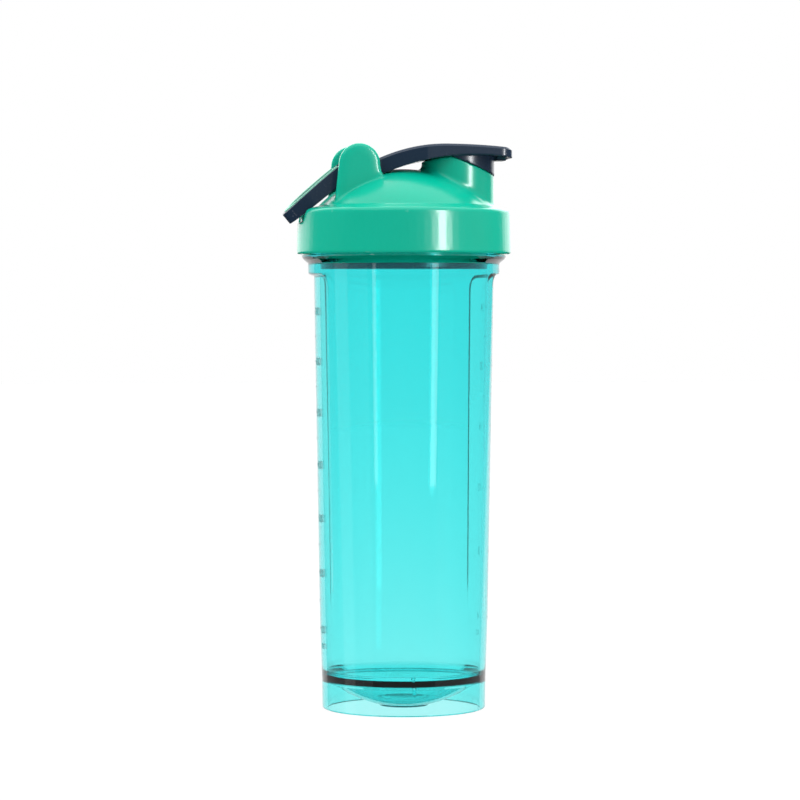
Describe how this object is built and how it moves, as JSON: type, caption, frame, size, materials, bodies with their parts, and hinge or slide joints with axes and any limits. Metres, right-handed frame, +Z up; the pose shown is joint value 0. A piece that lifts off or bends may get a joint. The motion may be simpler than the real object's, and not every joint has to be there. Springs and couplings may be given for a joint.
{
  "type": "protein shaker bottle",
  "caption": "Tapered clear shaker jar with a screw lid, drinking spout under an arched flip cap, folding carry loop, lid gasket and a plug-in mixing grid.",
  "frame": {"origin": "centre of the jar's foot, on the surface that the bottle stands on", "axes": "+Z up along the jar's axis; +X towards the drinking spout, -X towards the hinge and the carry loop"},
  "size_m": [0.1031, 0.0964, 0.2539],
  "materials": {
    "jar_clear": "clear tinted copolyester, moulded gloss",
    "lid_green": "moulded polypropylene, satin gloss",
    "navy": "moulded polypropylene, satin",
    "navy_pin": "moulded acetal",
    "silicone": "translucent white silicone",
    "inlay_green": "soft-touch elastomer"
  },
  "bodies": {
    "jar": {"jar": "jar_clear"},
    "gasket": {"lid_gasket": "silicone"},
    "lid": {"lid_shell": "lid_green", "hinge_pin": "navy_pin"},
    "grid": {"mixing_grid": "navy"},
    "cap": {"flip_cap": "navy", "spout_seal": "silicone"},
    "loop": {"carry_loop": "navy", "loop_inlay": "inlay_green"}
  },
  "joints": [
    {"name": "lid_lift", "type": "slide", "parent": "jar", "child": "gasket", "axis": [0, 0, 1], "range_m": [0, 0.02601]},
    {"name": "lid_turn", "type": "hinge", "parent": "gasket", "child": "lid", "pos_m": [0, 0, 0.2], "axis": [0, 0, 1], "range_deg": [0, 1170]},
    {"name": "cap_flip", "type": "hinge", "parent": "lid", "child": "cap", "pos_m": [-0.022, 0, 0.2446], "axis": [0, -1, 0], "range_deg": [0, 95]},
    {"name": "loop_swing", "type": "hinge", "parent": "lid", "child": "loop", "pos_m": [-0.022, 0, 0.2446], "axis": [0, 1, 0], "range_deg": [0, 50]},
    {"name": "grid_pull", "type": "slide", "parent": "lid", "child": "grid", "axis": [0, 0, -1], "range_m": [0, 0.01]}
  ],
  "couplings": [
    {"joint": "lid_lift", "follows": "lid_turn", "m_per_rad": 0.0012732}
  ]
}
